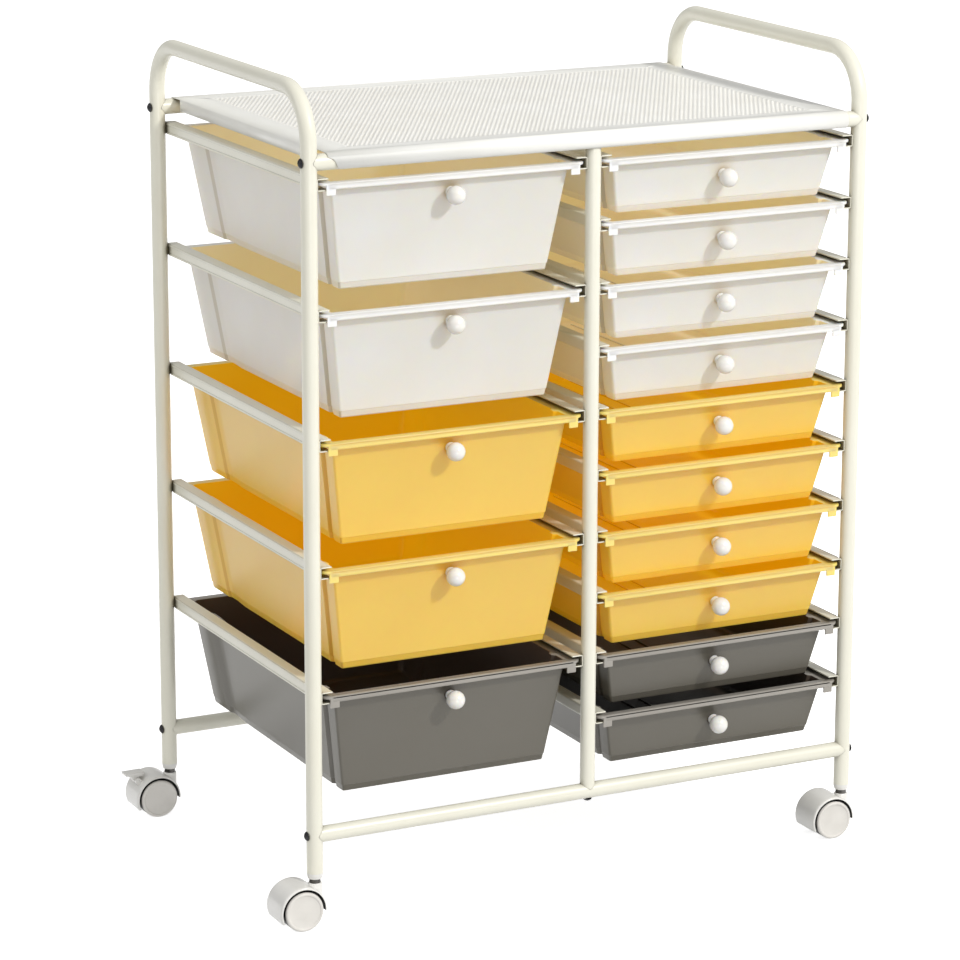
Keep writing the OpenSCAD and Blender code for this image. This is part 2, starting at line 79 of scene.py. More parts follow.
# %% Set up the camera
FOCAL_PX, PICTURE_PX, FILM_MM = 3837, 960, 36
azimuth, pitch, roll = math.radians(26.74), math.radians(14.43), math.radians(0.13)
forward = Vector((math.sin(azimuth) * math.cos(pitch),
                  math.cos(azimuth) * math.cos(pitch), -math.sin(pitch)))
level = Vector((math.cos(azimuth), -math.sin(azimuth), 0))
upright = level.cross(forward)
right = math.cos(roll) * level + math.sin(roll) * upright
up = math.cos(roll) * upright - math.sin(roll) * level
lens_data = bpy.data.cameras.new("photo_camera")
lens_data.sensor_width = FILM_MM
lens_data.lens = FOCAL_PX / PICTURE_PX * FILM_MM
lens_data.clip_end = 200
camera = bpy.data.objects.new("photo_camera", lens_data)
bpy.context.scene.collection.objects.link(camera)
place = Matrix((right, up, -forward)).transposed().to_4x4()
place.translation = Vector((-1.740 + CENTRE_X, -3.399, 1.351))
camera.matrix_world = place
bpy.context.scene.camera = camera
print("lens %.1f mm" % lens_data.lens)
print("%.2f m from the middle of the cart's footprint" % place.translation.length)

# %% [markdown]
# ## A white studio
# Catalogue pictures of furniture stand on white paper under one large soft
# lamp. The shadows of the knobs fall to the lower left, which puts the lamp
# to the right, in front and above. A low panel in front and a wide one at the
# left lift the shaded sides. The paper is lit from behind, so it gives
# its own white and takes no part in lighting the cart: its light on other
# pieces is switched off. The room is brighter towards the lamp than away from
# it, which shades the round tubes softly.

# %% Lay the white paper
paper = bpy.data.materials.new("white_paper")
paper.use_nodes = True
paper_shader = paper.node_tree.nodes["Principled BSDF"]
paper_shader.inputs["Base Color"].default_value = (0.93, 0.93, 0.93, 1)
paper_shader.inputs["Roughness"].default_value = 0.9
paper_shader.inputs["Emission Color"].default_value = (1, 1, 1, 1)
paper_shader.inputs["Emission Strength"].default_value = 0.80
sheet = bmesh.new()
bmesh.ops.create_grid(sheet, x_segments=4, y_segments=4, size=60)
paper_mesh = bpy.data.meshes.new("studio_floor")
sheet.to_mesh(paper_mesh)
sheet.free()
paper_mesh.materials.append(paper)
studio_floor = bpy.data.objects.new("studio_floor", paper_mesh)
studio_floor.location.z = -0.0005
studio_floor.visible_diffuse = False
bpy.context.scene.collection.objects.link(studio_floor)
print("floor laid")

# %% Hang the lamps and light the world
def hang_lamp(name, place, aim, size, watts, tint):
    data = bpy.data.lights.new(name, "AREA")
    data.shape = "DISK"
    data.size = size
    data.energy = watts
    data.color = tint
    lamp = bpy.data.objects.new(name, data)
    lamp.location = place
    lamp.rotation_euler = (Vector(aim) - Vector(place)).to_track_quat("-Z", "Y").to_euler()
    bpy.context.scene.collection.objects.link(lamp)


hang_lamp("key_lamp", (1.45, -3.0, 2.9), (0, 0, 0.45), 0.35, 92, (1.0, 0.985, 0.955))
hang_lamp("low_panel", (-0.6, -3.6, 0.25), (-0.1, 0, 0.1), 0.5, 14, (1.0, 0.99, 0.97))
hang_lamp("left_panel", (-2.9, 0.4, 1.9), (0, 0, 0.45), 1.6, 14, (1.0, 0.99, 0.97))
world = bpy.data.worlds.new("white_room")
world.use_nodes = True
room = world.node_tree
towards = room.nodes.new("ShaderNodeVectorMath")
towards.operation = "DOT_PRODUCT"
towards.inputs[1].default_value = (0.30, -0.62, 0.72)
gradient = room.nodes.new("ShaderNodeMapRange")
gradient.inputs["From Min"].default_value = -1
gradient.inputs["To Min"].default_value = 0.36
gradient.inputs["To Max"].default_value = 0.72
room.links.new(room.nodes.new("ShaderNodeTexCoord").outputs["Generated"], towards.inputs[0])
room.links.new(towards.outputs["Value"], gradient.inputs["Value"])
room.links.new(gradient.outputs["Result"], room.nodes["Background"].inputs["Strength"])
room.nodes["Background"].inputs["Color"].default_value = (1, 1, 1, 1)
bpy.context.scene.world = world
bpy.context.scene.view_settings.view_transform = "Standard"
print("three lamps and a white room")

# %% [markdown]
# ## Powder coat
# The tubes are sprayed with polyester powder and baked. The film flows round
# edges and keeps a faint orange peel. A Bevel node softens the sharp edges of
# the solids the way the film does, a fine noise gives the peel, and a second,
# slow noise varies the cream slightly, because no film is perfectly even. The
# shelf comes from another batch and is a little whiter. Where a runner meets a
# tube the light fades quickly, and an Ambient Occlusion node with a short reach
# paints that shade into the colour of the frame's crevices, so that the joints
# between pieces can be read.

# %% Helpers for node materials
def start_material(name, colour, roughness):
    material = bpy.data.materials.new(name)
    material.use_nodes = True
    shader = material.node_tree.nodes["Principled BSDF"]
    shader.inputs["Base Color"].default_value = (*colour, 1)
    shader.inputs["Roughness"].default_value = roughness
    return material, material.node_tree, shader


def add_noise(tree, scale, detail=2.0):
    spot = tree.nodes.new("ShaderNodeTexCoord")
    noise = tree.nodes.new("ShaderNodeTexNoise")
    noise.inputs["Scale"].default_value = scale
    noise.inputs["Detail"].default_value = detail
    tree.links.new(spot.outputs["Object"], noise.inputs["Vector"])
    return noise.outputs["Fac"]


def vary_colour(tree, shader, light, deep, scale, detail=3.0):
    ramp = tree.nodes.new("ShaderNodeValToRGB")
    ramp.color_ramp.elements[0].position = 0.35
    ramp.color_ramp.elements[0].color = (*deep, 1)
    ramp.color_ramp.elements[1].position = 0.65
    ramp.color_ramp.elements[1].color = (*light, 1)
    tree.links.new(add_noise(tree, scale, detail), ramp.inputs["Fac"])
    tree.links.new(ramp.outputs["Color"], shader.inputs["Base Color"])
    return ramp.outputs["Color"]


def add_bump(tree, shader, scale, depth, edge=None, detail=2.0):
    bump = tree.nodes.new("ShaderNodeBump")
    bump.inputs["Strength"].default_value = 0.6
    bump.inputs["Distance"].default_value = depth
    tree.links.new(add_noise(tree, scale, detail), bump.inputs["Height"])
    if edge:
        rounding = tree.nodes.new("ShaderNodeBevel")
        rounding.samples = 4
        rounding.inputs["Radius"].default_value = edge
        tree.links.new(rounding.outputs["Normal"], bump.inputs["Normal"])
    tree.links.new(bump.outputs["Normal"], shader.inputs["Normal"])


def paint_crevice_shade(tree, shader, reach, dark, start=0.25, end=0.7):
    """Painted shade: multiplies the base colour by a darker colour where surfaces meet closely."""
    source = shader.inputs["Base Color"].links[0].from_socket
    closeness = tree.nodes.new("ShaderNodeAmbientOcclusion")
    closeness.samples = 6
    closeness.inputs["Distance"].default_value = reach
    ramp = tree.nodes.new("ShaderNodeValToRGB")
    ramp.color_ramp.elements[0].position = start
    ramp.color_ramp.elements[0].color = (*dark, 1)
    ramp.color_ramp.elements[1].position = end
    ramp.color_ramp.elements[1].color = (1, 1, 1, 1)
    tree.links.new(closeness.outputs["AO"], ramp.inputs["Fac"])
    mix = tree.nodes.new("ShaderNodeMixRGB")
    mix.blend_type = "MULTIPLY"
    mix.inputs["Fac"].default_value = 1.0
    tree.links.new(source, mix.inputs["Color1"])
    tree.links.new(ramp.outputs["Color"], mix.inputs["Color2"])
    tree.links.new(mix.outputs["Color"], shader.inputs["Base Color"])


# %% Mix the cream powder coats
def mix_powder(name, colour, crevices):
    material, tree, shader = start_material(name, colour, 0.38)
    deep = tuple(c * f for c, f in zip(colour, (0.965, 0.96, 0.945)))
    vary_colour(tree, shader, colour, deep, 14)
    if crevices:
        paint_crevice_shade(tree, shader, 0.009, (0.20, 0.18, 0.13), 0.34, 0.9)
    add_bump(tree, shader, 620, 0.00022, edge=0.0006)
    shader.inputs["Coat Weight"].default_value = 0.25
    shader.inputs["Coat Roughness"].default_value = 0.22
    return material


powder_coat = mix_powder("cream_powder_coat", (0.83, 0.815, 0.705), True)
shelf_coat = mix_powder("shelf_powder_coat", (0.97, 0.968, 0.93), False)
print("two powder coats mixed")

# %% [markdown]
# ## Drawer plastic
# The drawers are injection-moulded polypropylene, slightly cloudy. Light gets
# through the 2 mm walls and comes out warmer, so the insides glow tan or amber
# while the fronts stay clean. Subsurface scattering does just this if its
# radius is about as long as the wall is thick, longer for red than for blue.
# The insides get a material of their own, deeper in colour and, in the white
# and yellow drawers, glowing evenly: painted shade and painted light for the
# light that has bounced between the walls many times there. That light is hard
# to trace with few samples, so an Ambient Occlusion node finds the closed-in
# places and lets them glow a little, which is painted light too, and a second
# one paints shade where surfaces meet closely. A fine moulding texture breaks
# up the gloss. The rim and the nose get a lighter copy of the plastic, a
# painted highlight, and the steps of the flutes in white and yellow a darker
# one, painted shade. The grey plastic lets nothing through.

# %% Mix the drawer plastics
def add_glow(tree, shader, glow):
    """Painted light: light that has come through the walls, given as a glow where little other
    light gets in.
    """
    closeness = tree.nodes.new("ShaderNodeAmbientOcclusion")
    closeness.samples = 6
    closeness.inputs["Distance"].default_value = 0.09
    ramp = tree.nodes.new("ShaderNodeValToRGB")
    ramp.color_ramp.elements[0].position = 0.05
    ramp.color_ramp.elements[0].color = (*glow, 1)
    ramp.color_ramp.elements[1].position = 0.85
    ramp.color_ramp.elements[1].color = (0, 0, 0, 1)
    tree.links.new(closeness.outputs["AO"], ramp.inputs["Fac"])
    tree.links.new(ramp.outputs["Color"], shader.inputs["Emission Color"])
    shader.inputs["Emission Strength"].default_value = 1.0


def mix_drawer_plastic(name, colour, roughness, cloudy, reach, glow=None, shade=None):
    material, tree, shader = start_material(name, colour, roughness)
    if glow:
        add_glow(tree, shader, glow)
    deep = tuple(c * f for c, f in zip(colour, (0.965, 0.955, 0.93)))
    vary_colour(tree, shader, colour, deep, 9)
    # Painted shade where surfaces meet closely, such as under the nose and in the flutes.
    if shade:
        paint_crevice_shade(tree, shader, 0.016, shade, 0.34, 0.84)
    add_bump(tree, shader, 900, 0.00012)
    shader.inputs["Subsurface Weight"].default_value = cloudy
    shader.inputs["Subsurface Radius"].default_value = reach
    shader.inputs["Subsurface Scale"].default_value = 0.006
    shader.inputs["Coat Weight"].default_value = 0.12
    shader.inputs["Coat Roughness"].default_value = 0.3
    return material


WARM, AMBER, NONE = (1.0, 0.75, 0.42), (1.0, 0.6, 0.12), (0.1, 0.1, 0.1)
# The last two colours are painted light and painted shade: the glow of closed-in places and the
# crevice shade.
white_plastic = mix_drawer_plastic("white_drawer_plastic", (0.765, 0.768, 0.752), 0.42, 0.75, WARM,
                                   (0.15, 0.11, 0.05), (0.55, 0.48, 0.36))
white_inside = mix_drawer_plastic("white_drawer_inside", (0.86, 0.78, 0.61), 0.5, 0.75, WARM)
yellow_plastic = mix_drawer_plastic("yellow_drawer_plastic", (0.91, 0.60, 0.100), 0.36, 0.7, AMBER,
                                    (0.13, 0.085, 0.0), (0.62, 0.45, 0.25))
yellow_inside = mix_drawer_plastic("yellow_drawer_inside", (0.90, 0.50, 0.02), 0.45, 0.7, AMBER)
grey_plastic = mix_drawer_plastic("grey_drawer_plastic", (0.112, 0.104, 0.085), 0.36, 0.0, NONE,
                                  None, (0.5, 0.45, 0.4))
grey_inside = mix_drawer_plastic("grey_drawer_inside", (0.085, 0.062, 0.045), 0.4, 0.0, NONE)
# The insides glow evenly as well: painted light.
for inside, inside_glow in ((white_inside, (0.15, 0.112, 0.055)), (yellow_inside, (0.155, 0.118, 0.0))):
    inside_shader = inside.node_tree.nodes["Principled BSDF"]
    inside_shader.inputs["Emission Color"].default_value = (*inside_glow, 1)
    inside_shader.inputs["Emission Strength"].default_value = 1.0
# The rims are lighter copies of the plastics: a painted highlight on rim and nose.
white_rim_highlight = mix_drawer_plastic("white_drawer_rim_highlight", (0.95, 0.94, 0.91), 0.34, 0.3, WARM)
yellow_rim_highlight = mix_drawer_plastic("yellow_drawer_rim_highlight", (0.97, 0.73, 0.20), 0.32, 0.3, AMBER)
grey_rim_highlight = mix_drawer_plastic("grey_drawer_rim_highlight", (0.33, 0.31, 0.28), 0.22, 0.0, NONE)
# The flute steps are darker copies of the plastics: painted shade. Grey steps keep the grey
# plastic.
white_step_shade = mix_drawer_plastic("white_drawer_step_shade", (0.62, 0.60, 0.535), 0.5, 0.5, WARM)
yellow_step_shade = mix_drawer_plastic("yellow_drawer_step_shade", (0.76, 0.48, 0.07), 0.5, 0.5, AMBER)
INSIDE_OF = {white_plastic: white_inside, yellow_plastic: yellow_inside, grey_plastic: grey_inside}
RIM_HIGHLIGHT_OF = {white_plastic: white_rim_highlight, yellow_plastic: yellow_rim_highlight, grey_plastic: grey_rim_highlight}
STEP_SHADE_OF = {white_plastic: white_step_shade, yellow_plastic: yellow_step_shade, grey_plastic: grey_plastic}
print("three drawer plastics mixed, each with its inside, its rim and its steps")

# %% [markdown]
# ## The smaller finishes
# Knobs and casters are glossy white plastic; the knobs let a little light in,
# so they get some subsurface. The wheels are a duller grade. The hood's inner
# wall and the wheels' treads get a near-black plastic, a painted shadow for the
# gap between wheel and hood. The screws are blackened steel. The caster stems
# are turned steel made dark, painted shade for the gap between socket and hood.

# %% Mix knob, caster and metal finishes
knob_gloss, tree, shader = start_material("knob_gloss_plastic", (0.86, 0.85, 0.82), 0.22)
vary_colour(tree, shader, (0.87, 0.86, 0.83), (0.84, 0.825, 0.79), 40)
add_bump(tree, shader, 500, 0.00004)
shader.inputs["Subsurface Weight"].default_value = 0.3
shader.inputs["Subsurface Radius"].default_value = (1.0, 0.8, 0.5)
shader.inputs["Subsurface Scale"].default_value = 0.003
shader.inputs["Coat Weight"].default_value = 0.35
shader.inputs["Coat Roughness"].default_value = 0.08

caster_gloss, tree, shader = start_material("caster_gloss_plastic", (0.82, 0.81, 0.78), 0.28)
vary_colour(tree, shader, (0.83, 0.82, 0.79), (0.79, 0.78, 0.745), 30)
add_bump(tree, shader, 700, 0.00006, edge=0.0005)
shader.inputs["Coat Weight"].default_value = 0.3
shader.inputs["Coat Roughness"].default_value = 0.12

wheel_plastic, tree, shader = start_material("wheel_plastic", (0.74, 0.715, 0.67), 0.4)
vary_colour(tree, shader, (0.76, 0.735, 0.69), (0.70, 0.675, 0.63), 45)
add_bump(tree, shader, 800, 0.0001)

# Painted shadow: a near-black plastic for the hood's inner wall and the wheels' treads, the shade
# in the gap between wheel and hood.
gap_shadow_plastic, tree, shader = start_material("wheel_tread", (0.03, 0.029, 0.027), 0.6)
vary_colour(tree, shader, (0.034, 0.033, 0.03), (0.022, 0.021, 0.02), 60)
add_bump(tree, shader, 900, 0.0002)

black_steel, tree, shader = start_material("blackened_steel", (0.02, 0.02, 0.022), 0.32)
shader.inputs["Metallic"].default_value = 0.7
vary_colour(tree, shader, (0.03, 0.03, 0.032), (0.012, 0.012, 0.014), 300)
add_bump(tree, shader, 1500, 0.00005, edge=0.0003)

# Painted shade: the stems are made dark to stand in for the shade between socket and hood.
shadowed_turned_steel, tree, shader = start_material("shadowed_turned_steel", (0.09, 0.085, 0.08), 0.28)
shader.inputs["Metallic"].default_value = 1.0
vary_colour(tree, shader, (0.11, 0.105, 0.1), (0.06, 0.057, 0.055), 200)
add_bump(tree, shader, 1200, 0.00004)
print("six small finishes mixed")

# %% Dress the solids that stay
FINISH = {
    "side_frame": powder_coat, "centre_frame": powder_coat, "top_bar": powder_coat,
    "low_bar": powder_coat, "mesh_shelf": shelf_coat, "frame_screws": black_steel,
    "post_bolts": black_steel, "leg_sockets": caster_gloss, "caster_hood": caster_gloss,
    "caster_steel": shadowed_turned_steel, "wheel": wheel_plastic, "brake": caster_gloss,
    "knob": knob_gloss,
}
DRAWER_FINISH = {
    "left": [white_plastic] * 2 + [yellow_plastic] * 2 + [grey_plastic],
    "right": [white_plastic] * 4 + [yellow_plastic] * 4 + [grey_plastic] * 2,
}


def finish_of(node):
    if node.startswith("drawer"):
        side, number = node.split("_")[1:]
        return DRAWER_FINISH[side][int(number) - 1]
    return next(f for start, f in FINISH.items() if node.startswith(start))


for name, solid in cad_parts.items():
    solid.data.materials.clear()
    solid.data.materials.append(finish_of(name))
print("dressed", len(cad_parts), "solids")

# %% [markdown]
# ## Lofting
# Most of the moulded pieces are built the same way: a row of closed loops,
# each with the same number of points, joined by faces from one loop to the
# next. This is what a moulder's drawing shows as sections. A short helper
# makes the mesh; the shapes are in the loops.

# %% Helpers that turn loops and profiles into meshes
def finish_mesh(name, build, material, soft_angle=35, inside=None):
    bmesh.ops.recalc_face_normals(build, faces=build.faces)
    mesh = bpy.data.meshes.new(name)
    build.to_mesh(mesh)
    build.free()
    mesh.materials.append(material)
    if inside:
        mesh.materials.append(inside)
    mesh.shade_smooth()
    piece = bpy.data.objects.new(name, mesh)
    bpy.context.scene.collection.objects.link(piece)
    mesh.set_sharp_from_angle(angle=math.radians(soft_angle))
    return piece


def loft(build, loops, caps=True, inner=0):
    """Joins the loops; the first cap and the first bands, inner in number, take slot 1."""
    rings = [[build.verts.new(p) for p in loop] for loop in loops]
    for band, (a, b) in enumerate(zip(rings, rings[1:])):
        n = len(a)
        for k in range(n):
            face = build.faces.new((a[k], a[(k + 1) % n], b[(k + 1) % n], b[k]))
            face.material_index = 1 if band < inner else 0
    if caps:
        build.faces.new(rings[0]).material_index = 1 if inner else 0
        build.faces.new(list(reversed(rings[-1])))
    return rings


def turn(build, profile, place, steps=40):
    """A solid of revolution: profile is (radius, height) pairs, from pole to pole."""
    loops = []
    for radius, height in profile:
        r = max(radius, 1e-5)
        loops.append([place @ Vector((r * math.cos(2 * math.pi * k / steps),
                                      r * math.sin(2 * math.pi * k / steps), height))
                      for k in range(steps)])
    return loft(build, loops)


def soft_block(build, low, high, radius, segments=2):
    """A box with rounded edges between two corners."""
    low, high = Vector(low), Vector(high)
    box = bmesh.ops.create_cube(build, size=1)["verts"]
    for v in box:
        v.co = Vector((low[i] + (v.co[i] + 0.5) * (high[i] - low[i]) for i in range(3)))
    edges = list({e for v in box for e in v.link_edges})
    bmesh.ops.bevel(build, geom=edges, offset=radius, segments=segments, profile=0.7,
                    affect="EDGES", clamp_overlap=True)


print("helpers ready")

# %% [markdown]
# ## The drawers
# A drawer is one moulding: a thin rim that slides in the runners, with a
# beaded nose along the front and two square tabs under it, and a tub that
# tapers so that drawers come out of the mould. The side walls carry shallow
# vertical flutes near both ends, which stiffen them. The plan of the tub is
# drawn as one loop of points with the flutes in it, and lofted from the
# inside floor up to the rim, round its edge, and down the outside. The slots
# of the mesh are the outer plastic, the inside with its painted shade and
# glow, the rim with its painted highlight, and the steps of the flutes with
# their painted shade. The walls reach close under the runners at the rim and
# lean in more than the plain solids do; at the floor both are the same.

# %% Read the drawer sizes from the solids
WALL, RIM_T, BEAD, FLUTE, TUB_HALF = 0.002, 0.003, 0.0018, 0.0022, 0.12655
RIM_SIDE, RIM_FRONT, RIM_REAR = 0.0140, 0.0085, 0.0095
MORE_LEAN = 0.0045
RIB_X = 0.010


def drawer_facts(node):
    """The middle of the rim's thickness is at height 0; the nose's bead is the highest point."""
    low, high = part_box(node)
    rim_z = high.z - BEAD
    return {"x": (low.x + high.x) / 2, "rim_half": (high.x - low.x) / 2, "front": low.y,
            "back": high.y, "rim_z": rim_z, "depth": rim_z + RIM_T / 2 - low.z}


big, small = drawer_facts("drawer_left_1"), drawer_facts("drawer_right_01")
print("large drawer %.1f mm deep" % (big["depth"] / MM))
print("small drawer %.1f mm deep" % (small["depth"] / MM))

# %% Draw the tub's plan with its flutes
FLUTE_MARKS = [(0.145, 0), (0.156, 1), (0.198, 1), (0.270, 0),
               (0.917, 0), (0.925, 1.5), (0.944, 1.5), (0.951, 0)]


def corner_points(cx, cy, r, start, steps=7):
    return [(cx + r * math.cos(math.radians(start + 90 * k / steps)),
             cy + r * math.sin(math.radians(start + 90 * k / steps))) for k in range(steps + 1)]


def plan_loop(half, front, back, back_r, front_r, z, flute=0.0, inset=0.0):
    """Counter-clockwise from the back right corner, as seen from above."""
    length = back - front + 2 * inset
    deep = flute * (half + inset) / TUB_HALF
    marks = [(back + inset - share * length, half - deep * cut) for share, cut in FLUTE_MARKS]
    points = corner_points(half - back_r, back - back_r, back_r, 0)
    points += corner_points(-half + back_r, back - back_r, back_r, 90)
    points += [(-x, y) for y, x in marks]
    points += corner_points(-half + front_r, front + front_r, front_r, 180, 4)
    points += corner_points(half - front_r, front + front_r, front_r, 270, 4)
    points += [(x, y) for y, x in reversed(marks)]
    return [(x, y, z) for x, y in points]


print("plan has", len(plan_loop(0.12, -0.17, 0.17, 0.014, 0.003, 0)), "points")

# %% Loft the tub and its rim
def front_wall(facts, lean, down):
    """Where the front wall stands in Y, at a distance under the middle of the rim."""
    return facts["front"] + RIM_FRONT + (down + RIM_T / 2) * (lean + MORE_LEAN) / facts["depth"]


def tub_section(facts, lean, lean_back, share, inset):
    """The wall's plan at a share of the depth, pulled in by inset."""
    half = facts["rim_half"] - RIM_SIDE - (lean + MORE_LEAN) * share - inset
    front = facts["front"] + RIM_FRONT + (lean + MORE_LEAN) * share + inset
    back = facts["back"] - RIM_REAR - lean_back * share - inset
    return half, front, back


def loft_tub(build, facts, lean, lean_back):
    depth, top = facts["depth"], RIM_T / 2
    floor = top - depth + WALL
    rim = (facts["rim_half"], facts["front"], facts["back"])

    def wall(z, inset):
        share = min(max((top - z) / depth, 0), 1)
        half, front, back = tub_section(facts, lean, lean_back, share, inset)
        return plan_loop(half, front, back, 0.009 - 0.001 * share - inset,
                         max(0.0028 - 0.8 * inset, 0.0007), z, FLUTE, inset)

    def edge(z, inset):
        return plan_loop(rim[0] - inset, rim[1] + inset, rim[2] - inset, 0.006 - inset,
                         0.0095 - inset, z)

    step = top - depth + 0.007
    loops = [
        wall(floor, WALL + 0.0035), wall(floor + 0.0005, WALL + 0.0018),
        wall(floor + 0.0017, WALL + 0.0005), wall(floor + 0.0035, WALL),
        wall(top - 0.001, WALL), wall(top - 0.0003, WALL - 0.0003), wall(top, WALL - 0.001),
        edge(top, 0.0009), edge(top - 0.0003, 0.0003), edge(top - 0.0009, 0),
        edge(-top + 0.0009, 0), edge(-top + 0.0003, 0.0003), edge(-top, 0.0009),
        wall(-top, -0.0010), wall(-top - 0.0004, -0.0003), wall(-top - 0.0012, 0),
        wall(step, 0), wall(step - 0.0003, 0.0003), wall(step - 0.0008, 0.0005),
        wall(top - depth + 0.0013, 0.0006), wall(top - depth + 0.0004, 0.0010),
        wall(top - depth, 0.0022),
    ]
    loft(build, loops, inner=5)


print("tub loft ready")

# %% Profile the beaded nose along the front edge
def nose_profile():
    """(depth behind the front edge, height) of the nose, in metres."""
    return [(0.0046, 0.0015), (0.0040, 0.0015), (0.0036, 0.0007), (0.0032, 0.0007),
            (0.0028, 0.0015), (0.0020, 0.0018), (0.0011, 0.0017), (0.0004, 0.0012),
            (0.0, 0.0004), (0.0, -0.0036), (0.0003, -0.0044), (0.0011, -0.0049),
            (0.0019, -0.0046), (0.0023, -0.0038), (0.0023, -0.0014), (0.0046, -0.0014)]


def add_nose(build, facts):
    half = facts["rim_half"] - 0.0085
    profile = nose_profile()
    mid_y = sum(p[0] for p in profile) / len(profile)
    mid_z = sum(p[1] for p in profile) / len(profile)
    loops = []
    for x, size in [(-half, 0.55), (-half + 0.0004, 0.82), (-half + 0.0013, 1), (half - 0.0013, 1),
                    (half - 0.0004, 0.82), (half, 0.55)]:
        loops.append([(x, facts["front"] + mid_y + (y - mid_y) * size, mid_z + (z - mid_z) * size)
                      for y, z in profile])
    loft(build, loops)


print("nose profile has", len(nose_profile()), "points")

# %% Add tabs, glides, floor ribs and make a drawer's mesh
TAB_SPAN, GLIDE_SPAN = (0.0165, 0.0068), (0.007, 0.003)


def drawer_mesh(facts, lean, lean_back, knob_down):
    build = bmesh.new()
    loft_tub(build, facts, lean, lean_back)
    add_nose(build, facts)
    front, half = facts["front"], facts["rim_half"]
    floor = RIM_T / 2 - facts["depth"] + WALL
    for side in (-1, 1):
        low, high = sorted(side * (half - inward) for inward in TAB_SPAN)
        soft_block(build, (low, front + 0.0001, -0.0102), (high, front + 0.0018, -0.0008), 0.0005)
        low, high = sorted(side * (half - inward) for inward in GLIDE_SPAN)
        soft_block(build, (low, front + 0.014, -0.0047),
                   (high, facts["back"] - 0.008, -0.001), 0.0005)
        rib_x = side * RIB_X
        soft_block(build, (rib_x - 0.001, front + 0.027 + lean, floor - 0.0004),
                   (rib_x + 0.001, facts["back"] - 0.024 - lean_back, floor + 0.0012), 0.0004)
    wall_y = front_wall(facts, lean, knob_down)
    for y, r in ((wall_y - 0.0003, 0.0062), (wall_y + WALL + 0.0002, 0.0058)):
        seat = Matrix.Translation((0, y, -knob_down)) @ Matrix.Rotation(math.pi / 2, 4, "X")
        turn(build, [(0, -0.0004), (r - 0.0003, -0.0004), (r, -0.0001), (r, 0.0003), (0, 0.0003)],
             seat, 28)
    choose_slots(build, facts)
    return build


def choose_slots(build, facts):
    """Outside faces near the rim or the nose take slot 2, the painted highlight; slanted ones in
    the flutes take slot 3, the painted shade.
    """
    front = facts["front"]
    build.normal_update()
    for face in build.faces:
        if face.material_index == 0:
            middle = face.calc_center_median()
            slanted = 0.12 < abs(face.normal.y) < 0.96
            if middle.z > -0.0016 or middle.y < front + 0.0068:
                face.material_index = 2
            elif slanted and front + 0.024 < middle.y < facts["back"] - 0.045:
                face.material_index = 3


def place_drawer(node, body, facts, lean, lean_back, knob_down):
    mine, plastic = drawer_facts(node), finish_of(node)
    build = drawer_mesh(facts, lean, lean_back, knob_down)
    piece = finish_mesh(node + "_moulding", build, plastic, 35, INSIDE_OF[plastic])
    # Slot 2 carries the painted highlight, slot 3 the painted shade of the flutes.
    piece.data.materials.append(RIM_HIGHLIGHT_OF[plastic])
    piece.data.materials.append(STEP_SHADE_OF[plastic])
    piece.location = (mine["x"], 0, mine["rim_z"])
    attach(piece, body)
    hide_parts(node)


LARGE_LEAN, SMALL_LEAN = 0.0115, 0.007
LARGE_KNOB, SMALL_KNOB = 0.018, 0.024
for i in range(1, 6):
    place_drawer("drawer_left_%d" % i, "drawer_left_%d_set" % i, big, LARGE_LEAN,
                 LARGE_LEAN + 0.006, LARGE_KNOB)
for i in range(1, 11):
    place_drawer("drawer_right_%02d" % i, "drawer_right_%02d_set" % i, small, SMALL_LEAN,
                 SMALL_LEAN + 0.002, SMALL_KNOB)
print("fifteen drawers moulded")

# %% [markdown]
# ## Beads along the runners
# The runners are roll formed: a low bead along both edges of the web keeps the
# thin strip straight. They are pressed into the sheet, so they belong to the
# side frames; here they lie on the webs as half-round ribs. Each runner's
# height is that of the drawer rim it carries.

# %% Roll the beads of the outer runners
def roll_beads(frame_node, side, drawers):
    web = CENTRE_X + side * (LEG_X - BAR_R + 0.0005)
    build = bmesh.new()
    for drawer in drawers:
        rim_z = drawer_facts(drawer)["rim_z"]
        for z in (rim_z - 0.0045, rim_z + 0.0045):
            arc = [(0.0006 * math.sin(math.radians(a)), 0.0011 * math.cos(math.radians(a)))
                   for a in range(0, 181, 20)]
            loft(build, [[(web + side * (0.00002 + out), y, z + rise) for out, rise in arc]
                         for y in (-BAR_Y + 0.006, BAR_Y - 0.006)])
    piece = finish_mesh(frame_node + "_beads", build, powder_coat, 50)
    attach(piece, "frame")


roll_beads("side_frame_left", -1, ["drawer_left_%d" % i for i in range(1, 6)])
roll_beads("side_frame_right", 1, ["drawer_right_%02d" % i for i in range(1, 11)])
print("beads on fifteen outer runners")

# %% [markdown]
# ## The knobs
# Each knob is a turned ball on a waisted neck, held by a pan-head screw from
# inside the drawer. A turned part is one profile spun round an axis, so the
# profile is all that is drawn: a foot, a waist, and the arc of the ball.

# %% Turn the knobs
def knob_profile():
    ball_r, ball_z = 0.0093, 0.0127
    points = [(0, -0.0003), (0.0050, -0.0003), (0.0054, 0.0002), (0.0053, 0.0012),
              (0.0046, 0.0026), (0.0043, 0.0036), (0.0044, 0.0042), (0.0049, 0.0046)]
    for k in range(24):
        a = math.radians(-58 + 148 * k / 23)
        points.append((ball_r * math.cos(a), ball_z + ball_r * math.sin(a)))
    points[-1] = (0, points[-1][1])
    return points


def screw_profile(head_r, head_h, shank_r, shank_l):
    """A pan head from its crown down to the end of the shank, crown at height 0."""
    tip = -head_h - shank_l
    return [(0, 0), (head_r * 0.5, -0.0001), (head_r * 0.85, -0.0006), (head_r, -head_h * 0.6),
            (head_r, -head_h), (shank_r, -head_h), (shank_r, tip), (0, tip)]


